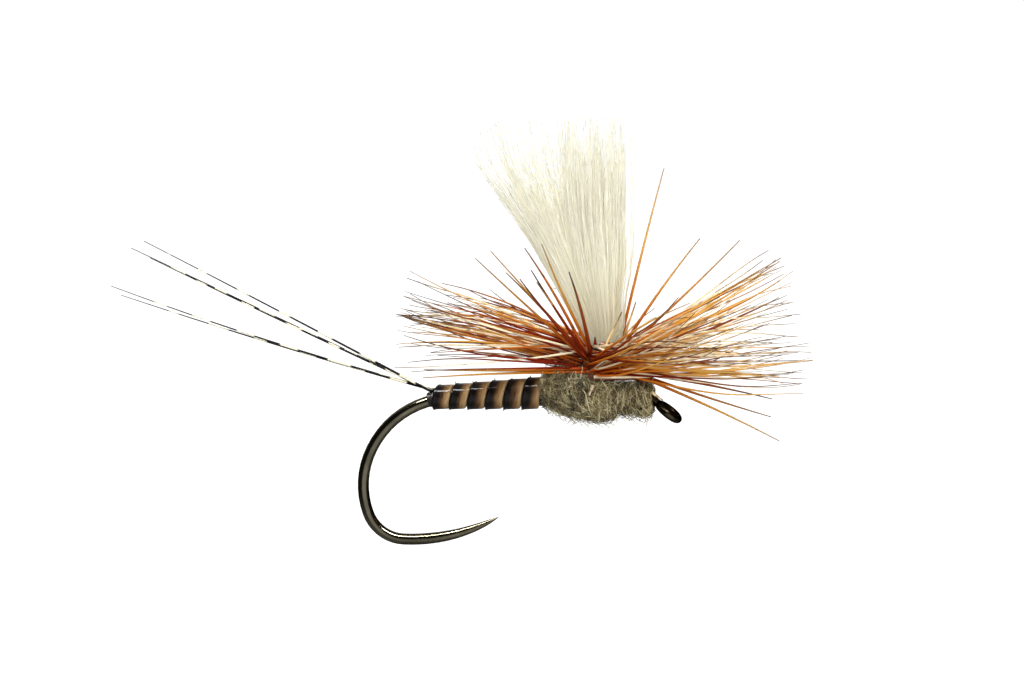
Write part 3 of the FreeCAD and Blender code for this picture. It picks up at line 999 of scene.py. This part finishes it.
def outline_at(outline, x):
    """The radius and middle height of a dubbed section at x, eased round its outline's points."""
    places, sizes, heights = np.array(outline).T
    near = [x + shift for shift in np.linspace(-OUTLINE_EASE, OUTLINE_EASE, 7)]
    radius = np.mean([np.interp(place, places, sizes) for place in near], axis=0)
    middle = np.mean([np.interp(place, places, heights) for place in near], axis=0)
    return radius, middle


def lumps(x, angle, stream):
    """A few soft lumps over a dubbed section, as a share of its radius."""
    total = np.zeros(np.broadcast(x, angle).shape)
    for _ in range(LUMP_WAVES):
        waves = stream.integers(1, 5)
        total = total + np.sin(waves * angle + stream.uniform(1, 6) * x + stream.uniform(0, 6))
    return total * LUMP_SIZE


def core_piece(name, outline, seed, material, node):
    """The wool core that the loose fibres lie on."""
    x = np.linspace(outline[0][0], outline[-1][0], CORE_RINGS)[:, None]
    angle = np.arange(CORE_SIDES)[None] * 2 * math.pi / CORE_SIDES
    swell = 1 + lumps(x, angle, seeded(seed))
    radius, axis_z = outline_at(outline, x)
    radius = radius * PACKED * swell
    points = np.stack((
        np.broadcast_to(x, radius.shape),
        radius * np.cos(angle),
        axis_z + radius * np.sin(angle),
    ), axis=-1)
    index = np.arange(radius.size).reshape(radius.shape)
    beside = np.roll(index, -1, axis=1)
    walls = np.stack((index[:-1], beside[:-1], beside[1:], index[1:]), axis=-1)
    faces = walls.reshape(-1, 4)[:, ::-1].tolist() + [index[0].tolist(), index[-1, ::-1].tolist()]
    new_piece(name, points.reshape(-1, 3), faces, material, node)


def curl_lines(outline, count, lie, stream, steps=10):
    """Loose fibres that wander over a dubbed section, most of them flat on it."""
    low, high = outline[0][0], outline[-1][0]
    start_x = stream.uniform(low + 0.02, high - 0.02, count)
    start_angle = stream.uniform(0, 2 * math.pi, count)
    bearing = stream.normal(lie[0], lie[1], count)
    bearing = bearing * np.where(stream.uniform(size=count) < SAME_WAY, 1, -1)
    curl = stream.normal(0, lie[2], count)
    stride = stream.uniform(*FUR_STRIDE, count)
    step = np.arange(steps)
    wander = stream.normal(0, FUR_WANDER, (count, steps)).cumsum(axis=1)
    heading = bearing[:, None] + curl[:, None] * step + wander
    x = start_x[:, None] + (stride[:, None] * np.cos(heading)).cumsum(axis=1)
    first = low - stream.uniform(*PAST_ENDS, count)[:, None]
    last = high + stream.uniform(*PAST_ENDS, count)[:, None]
    x = first + np.abs(x - first)
    x = last - np.abs(x - last)
    travelled = (stride[:, None] * np.sin(heading)).cumsum(axis=1)
    radius, axis_z = outline_at(outline, x)
    angle = start_angle[:, None] + travelled / radius
    t = step / (steps - 1)
    loft = stream.gamma(1.1, 0.045, count)[:, None] * np.sin(math.pi * t)
    is_free = stream.uniform(size=count) < FREE_SHARE
    free = np.where(is_free, stream.uniform(*FREE_REACH, count), 0.0)
    radius = radius * LOOSE + loft + free[:, None] * t**2
    return np.stack((x, radius * np.cos(angle), axis_z + radius * np.sin(angle)), axis=-1)


def wool_piece(name, outline, count, lie, paleness, seed, material, node):
    """The loose fibres of one dubbed section, in tufts that are paler or darker together."""
    stream = seeded(seed)
    lines = curl_lines(outline, count, lie, stream)
    girth = stream.uniform(*FUR_R, count)
    radii = tapered(count, lines.shape[1], 1.0, 0.55, 3.0) * girth[:, None]
    middle = lines[:, lines.shape[1] // 2]
    axis_z = outline_at(outline, middle[:, 0])[1]
    angle = np.arctan2(middle[:, 2] - axis_z, middle[:, 1])
    tufts = lumps(middle[:, 0] * 2.0, angle * 2.0, stream) * TUFT_CONTRAST
    shades = np.clip(stream.normal(paleness, SHADE_SPREAD, count) + tufts, 0, 1)
    strand_piece(name, lines, radii, shades, FINE_SIDES, material, node)


def build_thorax():
    core = dubbing_core()
    wool = dubbing_fibre()
    core_piece("thorax_rear_core", REAR_OUTLINE, 40, core, "thorax_dubbing_rear")
    core_piece("thorax_front_core", FRONT_OUTLINE, 41, core, "thorax_dubbing_front")
    wool_piece("thorax_rear_wool", REAR_OUTLINE, 3300, REAR_LIE, REAR_PALENESS, 42, wool,
               "thorax_dubbing_rear")
    wool_piece("thorax_front_wool", FRONT_OUTLINE, 2200, FRONT_LIE, FRONT_PALENESS_WITH_PAINTED_LIGHT, 43, wool,
               "thorax_dubbing_front")


# ---- tail

# Where the tail fibres end and how far each sags below a straight line
TAIL_TIPS = [
    (-21.27, 1.15, 6.70),
    (-21.67, 0.60, 6.49),
    (-20.81, 0.20, 6.14),
    (-21.85, -0.60, 4.75),
    (-22.15, -1.00, 5.17),
]
TAIL_SAGS = (-0.03, 0.0, 0.04, 0.09, 0.16)

# Their butts' place and height, where they leave the thread, how far apart they lie, their radii, and
# how far one's bars are shifted from the next one's
TAIL_BUTT = (-8.80, 0.869)
TAIL_EXIT_X = -9.55
TAIL_SPACING = 0.095
TAIL_R = (0.056, 0.014)
TAIL_SHIFT = 0.17


def tail_line(tip, side, sag, steps=60):
    """A fibre from its butt on the shank, out past the thread and on in a slack curve."""
    butt = np.array([TAIL_BUTT[0], side, TAIL_BUTT[1]])
    leave = np.array([TAIL_EXIT_X, side, TAIL_BUTT[1]])
    t = np.linspace(0, 1, steps)[:, None]
    line = leave + (np.array(tip) - leave) * t
    line[:, 2] -= sag * (4 * t * (1 - t))[:, 0]
    return np.concatenate((butt[None], line))


def build_tail():
    material = barred_tail()
    for number, (tip, sag) in enumerate(zip(TAIL_TIPS, TAIL_SAGS), start=1):
        line = tail_line(tip, (number - 3) * TAIL_SPACING, sag)[None]
        radii = tapered(1, line.shape[1], *TAIL_R, 1.0)
        shade = np.array([TAIL_SHIFT * number])
        strand_piece(f"tail_{number}", line, radii, shade, TAIL_SIDES, material,
                     f"tail_fibre_{number}")


# ---- stage, light and camera

# The floor's half width and how far it lies below the hook, and the wall's size
FLOOR_HALF = 4000.0
FLOOR_GAP = 8.0
WALL_REACH = 0.98 * FLOOR_HALF
WALL_FOOT = -10.0
WALL_SIDES = 48

# How bright the studio is: from straight below through the horizon to straight above, and from its
# sides to two broad white panels, before and behind the fly
SKY = [(0.0, 0.30), (0.28, 0.26), (0.40, 0.03), (0.80, 0.02), (0.94, 0.08), (1.0, 0.14)]
PANEL = [(0.0, 0.0), (0.62, 0.0), (0.84, 0.85), (1.0, 1.0)]
PANEL_WAY = (0.40, -0.85, -0.34)
LIGHT_TARGET = (-6.0, 0.0, 2.0)
SOFT_SIZE = (90, 90)
STRIP_SIZE = (170, 20)


def stage_piece(name, points, faces, material):
    piece = mesh_object(name, points, faces, material)
    return piece


def floor_paint():
    """A white light table: its own glow, far more than the lamps, makes it evenly white."""
    material, shader = new_material(
        "floor", Roughness=0.95, Emission_Strength=0.97, Emission_Color=WHITE
    )
    grain = noise(material, object_place(material), 40.0, 2.0)
    colour = ramp(material, grain, [(0.2, 106, 106, 105), (0.8, 112, 112, 111)])
    return paint(material, shader, colour)


def build_floor():
    """A plain pale floor, far enough below the hook that no shadow edge shows."""
    level = corners("hook")[0][2] - FLOOR_GAP
    edge = FLOOR_HALF
    points = [(-edge, -edge, level), (edge, -edge, level), (edge, edge, level), (-edge, edge, level)]
    floor = stage_piece("floor", points, [(0, 1, 2, 3)], floor_paint())
    floor.visible_glossy = False
    floor.visible_diffuse = False


def build_backdrop():
    """A white wall all round, far off, that only the camera sees: it doesn't light the fly."""
    material = new_material("backdrop", Roughness=1.0, Emission_Strength=1.0, Emission_Color=WHITE)[0]
    sides = WALL_SIDES
    angles = [2 * math.pi * side / sides for side in range(sides)]
    ring = [(WALL_REACH * math.cos(angle), WALL_REACH * math.sin(angle)) for angle in angles]
    points = [(x, y, z) for z in (WALL_FOOT, WALL_REACH) for x, y in ring]
    faces = [(k, (k + 1) % sides, sides + (k + 1) % sides, sides + k) for k in range(sides)]
    ceiling = tuple(range(sides, 2 * sides))
    wall = stage_piece("backdrop", points, faces + [ceiling], material)
    wall.visible_diffuse = False
    wall.visible_glossy = False
    wall.visible_transmission = False
    wall.visible_shadow = False


def area_light(name, place, size, power):
    """A rectangular light that faces the fly, unseen by the camera."""
    light = bpy.data.lights.new(name, "AREA")
    light.shape = "RECTANGLE"
    light.size = size[0] * MM
    light.size_y = size[1] * MM
    light.energy = power
    lamp = bpy.data.objects.new(name, light)
    lamp.location = Vector(place) * MM
    aim = Vector(LIGHT_TARGET) - Vector(place)
    lamp.rotation_mode = "QUATERNION"
    lamp.rotation_quaternion = aim.to_track_quat("-Z", "Y")
    lamp.visible_camera = False
    bpy.context.scene.collection.objects.link(lamp)
    return lamp


def soft_light(name, place, power):
    """A large light for wool and feather that leaves no mirror image of itself on metal."""
    area_light(name, place, SOFT_SIZE, power).visible_glossy = False


def strip_light(name, place, power):
    """A long narrow light that only draws a line of light along metal and varnish."""
    area_light(name, place, STRIP_SIZE, power).visible_diffuse = False


def build_sky():
    """A dim room with a paler floor and two white panels, so that metal and varnish have contrast."""
    world = bpy.data.worlds.new("studio")
    bpy.context.scene.world = world
    world.use_nodes = True
    way = add_node(world, "ShaderNodeTexCoord").outputs["Generated"]
    height = add_node(world, "ShaderNodeSeparateXYZ", Vector=way).outputs["Z"]
    facing = add_node(world, "ShaderNodeVectorMath")
    facing.operation = "DOT_PRODUCT"
    link(world, way, facing.inputs[0])
    facing.inputs[1].default_value = PANEL_WAY
    room = grey_ramp(world, maths(world, "MULTIPLY_ADD", height, 0.5, 0.5), SKY)
    panels = grey_ramp(world, maths(world, "ABSOLUTE", facing.outputs["Value"]), PANEL)
    background = world.node_tree.nodes["Background"]
    link(world, blend(world, 1.0, room, panels, "LIGHTEN"), background.inputs["Color"])
    background.inputs["Strength"].default_value = 1.0


def build_light():
    build_sky()
    soft_light("key", (-60, -110, 120), 0.25)
    soft_light("fill", (100, -100, 10), 0.18)
    soft_light("back", (-20, 130, 80), 0.17)
    soft_light("top", (0, 10, 160), 0.10)
    strip_light("strip", (-6, -52, 115), 0.55)


def camera_axes():
    """Right, up and back of the camera, rolled so that the shank lies level in the picture."""
    azimuth, elevation = math.radians(VIEW_AZIMUTH), math.radians(VIEW_ELEVATION)
    right = Vector((math.cos(azimuth), math.sin(azimuth), 0))
    back = Vector((
        math.sin(azimuth) * math.cos(elevation),
        -math.cos(azimuth) * math.cos(elevation),
        math.sin(elevation),
    ))
    up = back.cross(right)
    roll = math.atan2(-up.x, right.x)
    level_right = right * math.cos(roll) - up * math.sin(roll)
    level_up = up * math.cos(roll) + right * math.sin(roll)
    return level_right, level_up, back


def build_camera():
    data = bpy.data.cameras.new("camera")
    data.lens = LENS
    data.sensor_width = SENSOR
    data.clip_start = 0.001
    data.clip_end = 20.0
    camera = bpy.data.objects.new("camera", data)
    right, up, back = camera_axes()
    distance = VIEW_WIDTH * LENS / SENSOR
    place = right * VIEW_AIM[0] + up * VIEW_AIM[1] + back * distance
    camera.matrix_world = Matrix.Translation(place * MM) @ Matrix((right, up, back)).transposed().to_4x4()
    bpy.context.scene.collection.objects.link(camera)
    bpy.context.scene.camera = camera
    bpy.context.scene.view_settings.view_transform = "Standard"


dress("hook", black_nickel(), smooth=True)
build_thread()
build_quill(varnished_quill())
build_wing()
build_hackle()
build_thorax()
build_tail()
build_floor()
build_backdrop()
build_light()
build_camera()
